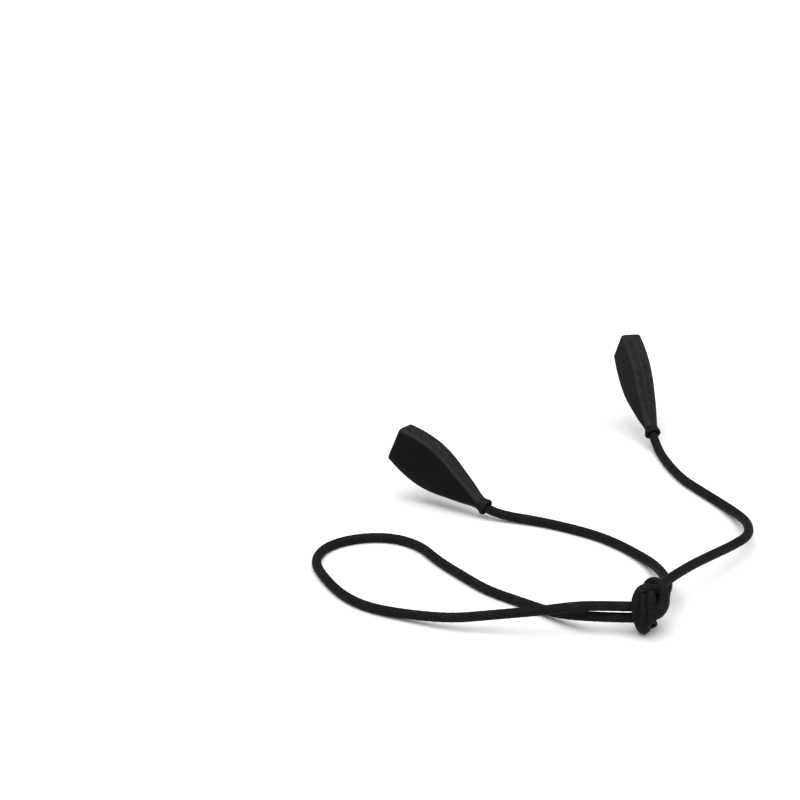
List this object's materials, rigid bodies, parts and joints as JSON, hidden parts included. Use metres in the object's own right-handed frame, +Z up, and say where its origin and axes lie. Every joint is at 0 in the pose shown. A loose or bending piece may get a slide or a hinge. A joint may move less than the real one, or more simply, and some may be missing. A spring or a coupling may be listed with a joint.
{
  "type": "eyeglasses cord strap",
  "caption": "Retainer strap for spectacles: a round cord with a moulded rubber sleeve at each end for the temple tips, gathered into a tail loop by a sliding cord knot.",
  "frame": {"origin": "on the surface that the strap lies on, below the middle of the box round the two sleeves and the knot", "axes": "+Z up; +Y forward, to the spectacles, from the knot to the sleeves; +X to the wearer's right"},
  "size_m": [0.135, 0.1073, 0.024],
  "materials": {
    "sleeve_rubber": "matt moulded silicone rubber",
    "cord_braid": "fine satin braid",
    "stopper_metal": "plain crimped metal"
  },
  "bodies": {
    "cord": {"strap_cord": "cord_braid", "left_cord_stopper": "stopper_metal", "right_cord_stopper": "stopper_metal"},
    "left_sleeve": {"left_temple_sleeve": "sleeve_rubber"},
    "right_sleeve": {"right_temple_sleeve": "sleeve_rubber"},
    "knot": {"slider_knot": "cord_braid"}
  },
  "joints": [
    {"name": "left_sleeve_swivel", "type": "hinge", "parent": "cord", "child": "left_sleeve", "pos_m": [-0.02897, 0.02395, 0.0028], "axis": [-0.1822, 0.9037, 0.3875], "continuous": true},
    {"name": "right_sleeve_swivel", "type": "hinge", "parent": "cord", "child": "right_sleeve", "pos_m": [0.03353, 0.02661, 0.00367], "axis": [0.4064, 0.7422, 0.5329], "continuous": true},
    {"name": "knot_slide", "type": "slide", "parent": "cord", "child": "knot", "axis": [-0.6853, 0.7283, 0], "range_m": [0, 0.007]}
  ]
}
